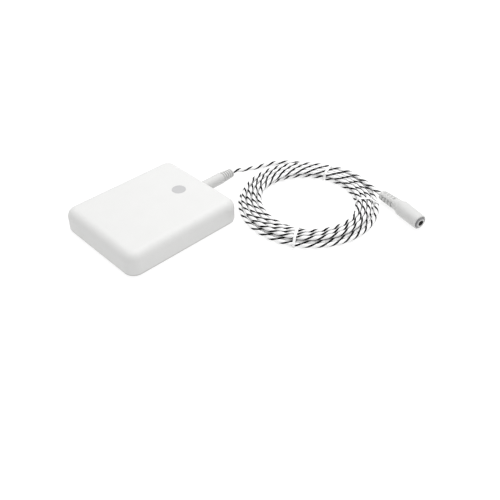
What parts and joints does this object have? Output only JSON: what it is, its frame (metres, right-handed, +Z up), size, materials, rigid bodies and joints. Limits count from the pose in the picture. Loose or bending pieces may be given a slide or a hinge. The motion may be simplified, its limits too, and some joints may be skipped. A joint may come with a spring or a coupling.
{
  "type": "water leak sensor",
  "caption": "Flat white water leak sensor with a flush round button, a battery door below and a plug-in sensing cord, stored in a tied coil, that ends in an inline socket.",
  "frame": {"origin": "centre of the housing's footprint, on the surface that its feet stand on", "axes": "+X along the housing's length towards the jack and the plug, +Z up through the top face"},
  "size_m": [0.1647, 0.1486, 0.015],
  "materials": {
    "white_shell": "fine moulded satin",
    "base_plastic": "fine moulded satin",
    "button_plastic": "smooth moulded",
    "grip_plastic": "soft moulded",
    "cord_white": "extruded satin with black wires",
    "tie_plastic": "smooth",
    "black_rubber": "matte",
    "grey_rubber": "matte",
    "black_plastic": "moulded",
    "cream_plastic": "moulded",
    "led_lens": "clear",
    "board_green": "solder mask",
    "board_black": "solder mask",
    "ceramic_parts": "fired ceramic",
    "screw_steel": "zinc plated",
    "tinned_steel": "tinned",
    "cell_steel": "drawn",
    "nickel": "nickel plated",
    "gilt_brass": "gold flashed"
  },
  "bodies": {
    "housing": {"upper_shell": "white_shell", "base": "base_plastic", "housing_seal": "black_rubber", "housing_screws": "screw_steel", "rubber_feet": "grey_rubber", "switch_body": "black_plastic", "status_led": "led_lens", "circuit_board": "board_green", "board_screws": "screw_steel", "controller_chip": "black_plastic", "radio_board": "board_black", "radio_shield": "tinned_steel", "board_components": "ceramic_parts", "jack_housing": "black_plastic", "jack_tip_spring": "gilt_brass", "jack_sleeve_contact": "nickel", "jack_gasket": "black_rubber", "coin_cell": "cell_steel", "cell_top_contact": "gilt_brass", "cell_side_contact": "gilt_brass"},
    "button": {"button_cap": "button_plastic", "switch_plunger": "cream_plastic"},
    "battery_door": {"battery_cap": "base_plastic", "cap_seal": "black_rubber"},
    "sensing_lead": {"plug_grip": "grip_plastic", "plug_sleeve": "nickel", "plug_insulator": "black_plastic", "plug_tip": "nickel", "lead_in": "cord_white", "cord_coil": "cord_white", "coil_ties": "tie_plastic", "lead_out": "cord_white", "socket_grip": "grip_plastic", "socket_insert": "black_plastic", "socket_bush": "nickel", "socket_spring": "gilt_brass"}
  },
  "joints": [
    {"name": "button_press", "type": "slide", "parent": "housing", "child": "button", "axis": [0, 0, -1], "range_m": [0, 0.0005], "stiffness_N_per_m": 800},
    {"name": "battery_cap_turn", "type": "hinge", "parent": "housing", "child": "battery_door", "pos_m": [-0.017, 0, 0.0006], "axis": [0, 0, 1], "range_deg": [0, 30]},
    {"name": "lead_unplug", "type": "slide", "parent": "housing", "child": "sensing_lead", "axis": [1, 0, 0], "range_m": [0, 0.016]}
  ]
}
